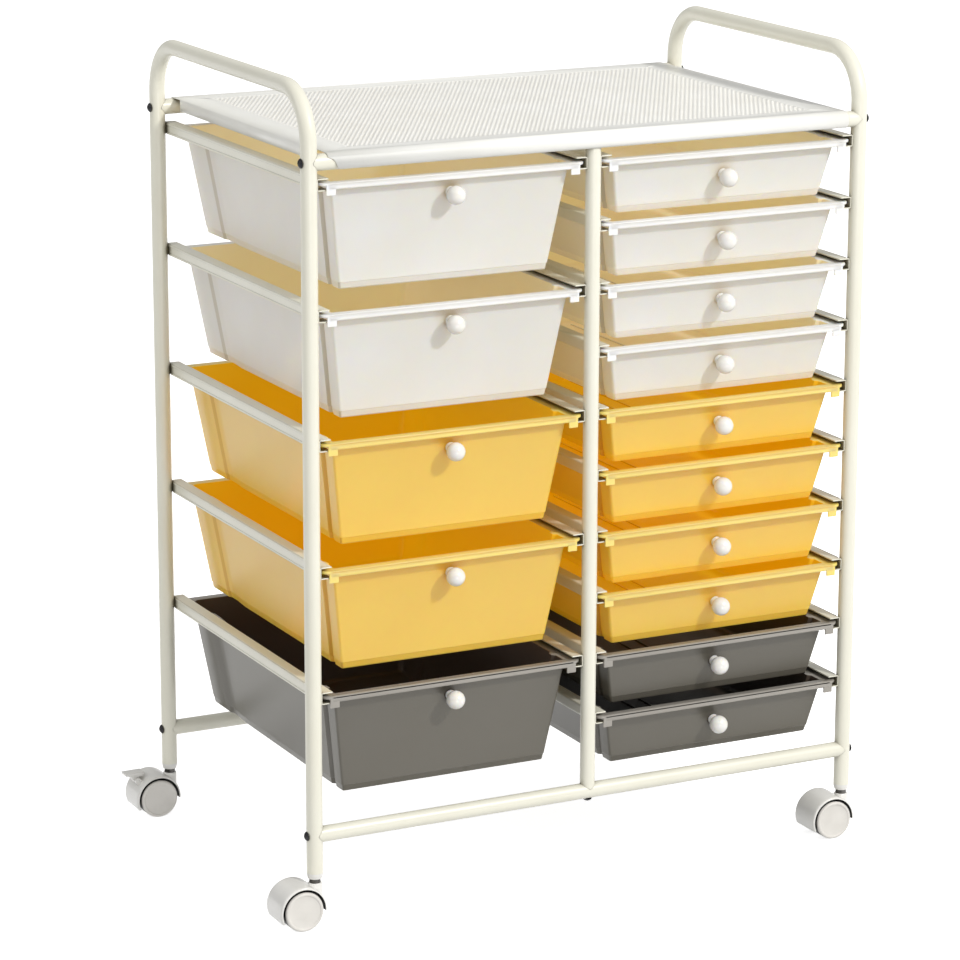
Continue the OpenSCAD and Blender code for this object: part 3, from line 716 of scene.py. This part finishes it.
def place_knob(node, body, facts, lean, down, column):
    mine = drawer_facts(column)
    tilt = math.atan((lean + MORE_LEAN) / facts["depth"])
    wall = Vector((mine["x"], front_wall(facts, lean, down), mine["rim_z"] - down))
    seat = Matrix.Translation(wall) @ Matrix.Rotation(math.pi / 2 + tilt, 4, "X")
    build = bmesh.new()
    turn(build, knob_profile(), seat, 48)
    inside = seat @ Matrix.Rotation(math.pi, 4, "X")
    turn(build, [(r, z + WALL + 0.0028) for r, z in screw_profile(0.0042, 0.0028, 0.002, 0.003)],
         inside, 28)
    piece = finish_mesh(node + "_turned", build, knob_gloss)
    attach(piece, body)
    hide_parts(node)


for i in range(1, 6):
    place_knob("knob_left_%d" % i, "drawer_left_%d_set" % i, big, LARGE_LEAN, LARGE_KNOB,
               "drawer_left_%d" % i)
for i in range(1, 11):
    place_knob("knob_right_%02d" % i, "drawer_right_%02d_set" % i, small, SMALL_LEAN, SMALL_KNOB,
               "drawer_right_%02d" % i)
print("fifteen knobs turned")

# %% [markdown]
# ## The perforated shelf
# The shelf is one steel sheet, punched with staggered holes about 5 mm apart
# and rolled over the bars at the front and back. A texture could fake the
# holes, but light falls through them, so they are cut for real. Staggered
# holes sit in a honeycomb: every hole gets a hexagon of sheet round it, the
# hexagons share their corners, and the outermost corners are pulled out to a
# straight line that the plain margin joins on to.

# %% Punch the field of holes
PITCH = 0.005
HOLE_R = 0.00155
FIELD = (-0.250, 0.250, -0.165, 0.157)
SHEET_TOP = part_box("mesh_shelf")[1].z
SHEET_T = 0.001
ROW = PITCH * math.sqrt(3) / 2


def hole_centres():
    across = round((FIELD[1] - FIELD[0]) / PITCH)
    rows = round((FIELD[3] - FIELD[2]) / ROW)
    for j in range(rows + 1):
        for i in range(across + (0 if j % 2 else 1)):
            yield (FIELD[0] + PITCH * (i + (0.5 if j % 2 else 0)), FIELD[2] + ROW * j, j, rows)


def punch(build, edge_x, edge_y):
    """Adds the punched field at Z = 0 and returns its border points."""
    corners, border = {}, set()
    last_y = FIELD[2] + ROW * round((FIELD[3] - FIELD[2]) / ROW)
    reach = PITCH / math.sqrt(3)

    def corner(x, y):
        key = (round(x / 1e-5), round(y / 1e-5))
        if key not in corners:
            px, py = x, y
            if y < FIELD[2] - reach * 0.4:
                py = edge_y[0]
            if y > last_y + reach * 0.4:
                py = edge_y[1]
            if x < FIELD[0] + 1e-5:
                px = edge_x[0]
            if x > FIELD[1] - 1e-5:
                px = edge_x[1]
            v = build.verts.new((px, py, 0))
            if px != x or py != y:
                border.add(v)
            corners[key] = v
        return corners[key]

    count = 0
    for x, y, j, rows in hole_centres():
        hexagon = [corner(x + reach * math.cos(math.radians(30 + 60 * k)),
                          y + reach * math.sin(math.radians(30 + 60 * k))) for k in range(6)]
        ring = [build.verts.new((x + HOLE_R * math.cos(math.radians(30 + 30 * k)),
                                 y + HOLE_R * math.sin(math.radians(30 + 30 * k)), 0))
                for k in range(12)]
        for k in range(6):
            a, b, c = ring[2 * k], ring[2 * k + 1], ring[(2 * k + 2) % 12]
            build.faces.new((hexagon[k], hexagon[(k + 1) % 6], c, b, a))
        count += 1
    print("punched", count, "holes")
    return border


# %% Join the plain margin and fold the sheet
SHEET_HALF, SKIRT_SHORT, SKIRT_DROP = 0.283, 0.019, 0.012
LEFT_CUT = [(0.0050, 0), (0.0046, 0.002), (0.0034, 0.0045), (0.0012, 0.0065), (-0.002, 0.008),
            (-0.005, 0.0095), (-0.008, 0.012)]
RIGHT_CUT = [(-0.002, 0), (-0.0042, 0.0006), (-0.006, 0.002), (-0.008, 0.0045)]


def cut_back(curve, z):
    """How far the rolled edge's end is cut back at height z above the bar's middle."""
    if z >= curve[0][0]:
        return 0
    for (z0, x0), (z1, x1) in zip(curve, curve[1:]):
        if z >= z1:
            return x0 + (x1 - x0) * (z0 - z) / (z0 - z1)
    return curve[-1][1]


def fold_margin(build, border, edge_x, edge_y):
    half_x, half_y = SHEET_HALF, BAR_Y
    front = sorted((v for v in border if abs(v.co.y - edge_y[0]) < 1e-7), key=lambda v: v.co.x)
    back = sorted((v for v in border if abs(v.co.y - edge_y[1]) < 1e-7), key=lambda v: v.co.x)
    left = sorted((v for v in border if abs(v.co.x - edge_x[0]) < 1e-7), key=lambda v: v.co.y)
    right = sorted((v for v in border if abs(v.co.x - edge_x[1]) < 1e-7), key=lambda v: v.co.y)
    outer = {key: build.verts.new((key[0] * half_x, key[1] * half_y, 0))
             for key in ((-1, -1), (1, -1), (1, 1), (-1, 1))}
    build.faces.new([outer[-1, -1], outer[1, -1]] + list(reversed(front)))
    build.faces.new([outer[1, 1], outer[-1, 1]] + back)
    fold = {(side, s): build.verts.new((side * half_x, s * (half_y - SKIRT_SHORT), 0))
            for side in (-1, 1) for s in (-1, 1)}
    build.faces.new([outer[-1, 1], fold[-1, 1], fold[-1, -1], outer[-1, -1]] + left)
    build.faces.new([outer[1, -1], fold[1, -1], fold[1, 1], outer[1, 1]] + list(reversed(right)))
    rest = SHEET_TOP - TOP_BAR_Z
    for side in (-1, 1):
        start = [outer[-1, side], outer[1, side]]
        path = []
        for k in range(1, 15):
            a = math.radians(90 * k / 14)
            path.append((side * (half_y + rest * math.sin(a)), rest * math.cos(a) - rest))
        for drop in (0.0015, 0.003, 0.0045):
            path.append((side * (half_y + rest), -rest - drop))
        path.append((side * (half_y + rest - 0.0001), -rest - 0.006))
        path.append((side * (half_y + rest - 0.0006), -rest - 0.0068))
        for y, z in path:
            pair = [build.verts.new((-half_x + cut_back(LEFT_CUT, z + rest), y, z)),
                    build.verts.new((half_x - cut_back(RIGHT_CUT, z + rest), y, z))]
            build.faces.new((start[0], start[1], pair[1], pair[0]))
            start = pair
    for side in (-1, 1):
        hem = [build.verts.new((side * half_x, s * (half_y - SKIRT_SHORT), -SKIRT_DROP))
               for s in (1, -1)]
        build.faces.new([fold[side, -1], fold[side, 1]] + hem)


edge_x = (FIELD[0] - 0.004, FIELD[1] + 0.004)
edge_y = (FIELD[2] - 0.004, FIELD[3] + 0.005)
build = bmesh.new()
fold_margin(build, punch(build, edge_x, edge_y), edge_x, edge_y)
shelf = finish_mesh("perforated_shelf", build, shelf_coat, 30)
shelf.location = (CENTRE_X, 0, SHEET_TOP)
thickness = shelf.modifiers.new("sheet_metal", "SOLIDIFY")
thickness.thickness = SHEET_T
thickness.offset = -1
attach(shelf, "frame")
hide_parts("mesh_shelf")
print("shelf has", len(shelf.data.polygons), "faces before its thickness")

# %% [markdown]
# ## The casters
# A twin-wheel caster is a plastic hood that reaches round two wheels, with a
# neck on one side that turns about a steel stem. The hood is a shell of one
# section, swept round the axle for a little more than half a turn; a middle
# web carries the axle, and the neck flows down into the shell. The two rear
# casters have a notch and two lugs for the brake lever. Sweeping the section
# by hand, loop after loop, keeps the gap round the wheels even, which is the
# dark arc that makes such casters easy to recognise. The shade in that gap is
# painted: the hood's inner wall and the wheels' treads take a near-black
# material.

# %% Find the casters
HOOD_IN, HOOD_OUT, HOOD_HALF, TRAIL, NECK_UP = 0.0223, 0.0246, 0.0187, 0.0195, 0.022
PIVOT = (-0.0196, 0.0192)
NECK_R, SINK_R, LUG_R = 0.0070, 0.0236, 0.0032


def axle_of(corner):
    low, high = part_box("wheel_front_" + corner)
    back_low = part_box("wheel_back_" + corner)[0]
    return Vector(((low.x + high.x) / 2, (high.y + back_low.y) / 2, (low.z + high.z) / 2))


print("axles at", [tuple(round(c / MM, 1) for c in axle_of(c)) for c in ("fl", "fr", "rl", "rr")])

# %% Sweep the hood and its neck
def notched(angle, braked):
    """The shell's radius in its middle third, where the rear hoods are notched."""
    c, n = -math.cos(math.radians(angle)), math.sin(math.radians(angle))
    if not braked or c <= 0.2 or n <= 0.2:
        return HOOD_OUT
    return min(HOOD_OUT, max(0.0152 / c, 0.0150 / n))


def shell_section(angle, braked):
    low = notched(angle, braked)
    outer = [(HOOD_OUT - 0.0018, -HOOD_HALF), (HOOD_OUT - 0.0010, -HOOD_HALF + 0.0002),
             (HOOD_OUT - 0.0004, -HOOD_HALF + 0.0008), (HOOD_OUT - 0.0001, -HOOD_HALF + 0.0020),
             (HOOD_OUT, -HOOD_HALF + 0.0045), (HOOD_OUT, -0.0061)]
    return ([(HOOD_IN, -HOOD_HALF + 0.0003), (HOOD_IN + 0.0003, -HOOD_HALF)] + outer
            + [(low, -0.0059), (low, 0.0059)] + [(r, -y) for r, y in reversed(outer)]
            + [(HOOD_IN + 0.0003, HOOD_HALF), (HOOD_IN, HOOD_HALF - 0.0003)])


def sweep_hood(build, axle, braked):
    loops = []
    for k in range(105):
        angle = -4 + 2 * k
        turn_in = math.radians(angle)
        loops.append([axle + Vector((r * math.cos(turn_in), y, r * math.sin(turn_in)))
                      for r, y in shell_section(angle, braked)])
    loft(build, loops)
    # The inner wall takes slot 1, the painted shadow of the gap.
    for face in build.faces:
        arm = face.calc_center_median() - axle
        if math.hypot(arm.x, arm.z) < HOOD_IN + 0.0002:
            face.material_index = 1
    fan = [(0, 0)] + [((HOOD_IN + 0.0006) * math.cos(math.radians(a)),
                       (HOOD_IN + 0.0006) * math.sin(math.radians(a))) for a in range(-4, 205, 4)]
    loft(build, [[axle + Vector((x, y, z)) for x, z in fan] for y in (-0.0032, 0.0032)])


def shape_neck(build, axle, steps=40):
    """The neck flares downwards and ends SINK_R from the axle, inside the shell."""
    def underside(x):
        return math.sqrt(max(SINK_R ** 2 - x * x, 0)) if x < SINK_R else -0.0010

    levels = [(0.0, 0.0063), (0.0002, 0.0067), (0.0006, 0.0069), (0.0014, NECK_R)]
    loops = [[axle + Vector((TRAIL + r * math.cos(2 * math.pi * k / steps),
                             r * math.sin(2 * math.pi * k / steps), NECK_UP - down))
              for k in range(steps)] for down, r in levels]
    for n in range(1, 11):
        u = n / 10
        flare = 0.0050 * u ** 2.6
        loop = []
        for k in range(steps):
            a = 2 * math.pi * k / steps
            x = TRAIL - flare + (NECK_R + flare) * math.cos(a)
            z = (NECK_UP - 0.0014) * (1 - u) + underside(x) * u
            loop.append(axle + Vector((x, (NECK_R + flare) * math.sin(a), z)))
        loops.append(loop)
    loft(build, loops)


def add_lugs(build, axle):
    px, pz = PIVOT
    away = math.atan2(pz, px)
    for side in (-1, 1):
        outline = []
        for k in range(17):
            a = away - math.pi / 2 + math.pi * k / 16
            outline.append((px + LUG_R * math.cos(a), pz + LUG_R * math.sin(a)))
        for s in (1, -1):
            outline.append((0.0222 * math.cos(away) - s * LUG_R * math.sin(away),
                            0.0222 * math.sin(away) + s * LUG_R * math.cos(away)))
        loft(build, [[axle + Vector((x, y, z)) for x, z in outline]
                     for y in (side * 0.0075 - 0.0015, side * 0.0075 + 0.0015)])
    pin = Matrix.Translation(axle + Vector((px, 0, pz))) @ Matrix.Rotation(math.pi / 2, 4, "X")
    turn(build, [(0, -0.0092), (0.0013, -0.0092), (0.0015, -0.0089), (0.0015, 0.0089),
                 (0.0013, 0.0092), (0, 0.0092)], pin, 24)


for corner in ("fl", "fr", "rl", "rr"):
    build = bmesh.new()
    braked = corner in ("rl", "rr")
    sweep_hood(build, axle_of(corner), braked)
    shape_neck(build, axle_of(corner))
    if braked:
        add_lugs(build, axle_of(corner))
    hood = finish_mesh("hood_shell_" + corner, build, caster_gloss, 40, gap_shadow_plastic)
    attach(hood, "swivel_" + corner)
    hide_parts("caster_hood_" + corner)
print("four hoods swept")

# %% Turn the wheels
def wheel_profile():
    """From the end of the blind bore, over the tread, to the middle of the outer face."""
    return [(0, 0.0175), (0.00255, 0.0175), (0.00255, 0.0042), (0.0029, 0.0038), (0.0182, 0.0038),
            (0.0193, 0.0041), (0.0199, 0.0048), (0.0200, 0.0058), (0.0200, 0.0176),
            (0.0199, 0.0186), (0.0195, 0.0195), (0.0188, 0.0201), (0.0180, 0.0203),
            (0.0172, 0.0202), (0.0167, 0.0199), (0.0164, 0.0195), (0.0158, 0.0193),
            (0.0080, 0.0192), (0, 0.0192)]


for corner in ("fl", "fr", "rl", "rr"):
    for face, quarter in (("front", 1), ("back", -1)):
        build = bmesh.new()
        seat = Matrix.Translation(axle_of(corner)) @ Matrix.Rotation(quarter * math.pi / 2, 4, "X")
        turn(build, wheel_profile(), seat, 72)
        # The tread takes slot 1, the painted shadow of the hood's gap.
        for side in build.faces:
            arm = seat.inverted() @ side.calc_center_median()
            if math.hypot(arm.x, arm.y) > 0.0196 and 0.0043 < arm.z < 0.0178:
                side.material_index = 1
        name = "wheel_%s_%s" % (face, corner)
        wheel = finish_mesh(name + "_turned", build, wheel_plastic, 30, gap_shadow_plastic)
        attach(wheel, name)
        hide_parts(name)
print("eight wheels turned")

# %% Shape the brake levers
def wedge(build, outline, half, origin, soft):
    """A prism with the outline in X and Z, from -half to half in Y, its edges rounded."""
    before = set(build.verts)
    loft(build, [[origin + Vector((x, y, z)) for x, z in outline] for y in (-half, half)])
    fresh = [v for v in build.verts if v not in before]
    edges = list({e for v in fresh for e in v.link_edges})
    bmesh.ops.bevel(build, geom=edges, offset=soft, segments=2, profile=0.6,
                    affect="EDGES", clamp_overlap=True)


for corner in ("rl", "rr"):
    pin = axle_of(corner) + Vector((PIVOT[0], 0, PIVOT[1]))
    build = bmesh.new()
    wedge(build, [(-0.0134, 0.0086), (-0.0128, 0.0060), (0.0040, 0.0060), (0.0076, 0.0064),
                  (0.0076, 0.0088)], 0.0068, pin, 0.0005)
    wedge(build, [(-0.0104, 0.0064), (-0.0090, 0.0048), (-0.0070, 0.0042), (0.0060, 0.0042),
                  (0.0060, 0.0064)], 0.0058, pin, 0.0004)
    wedge(build, [(-0.0060, 0.0046), (-0.0048, 0.0014), (-0.0030, 0.0004), (0.0020, 0.0004),
                  (0.0025, 0.0010), (0.0025, 0.0046)], 0.0050, pin, 0.0004)
    seat = Matrix.Translation(pin) @ Matrix.Rotation(math.pi / 2, 4, "X")
    turn(build, [(0.0029, -0.0057), (0.0032, -0.0054), (0.0032, 0.0054), (0.0029, 0.0057)],
         seat, 32)
    lever = finish_mesh("foot_brake_" + corner, build, caster_gloss, 35)
    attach(lever, "brake_" + corner)
    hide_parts("brake_" + corner)
print("two brake levers shaped")
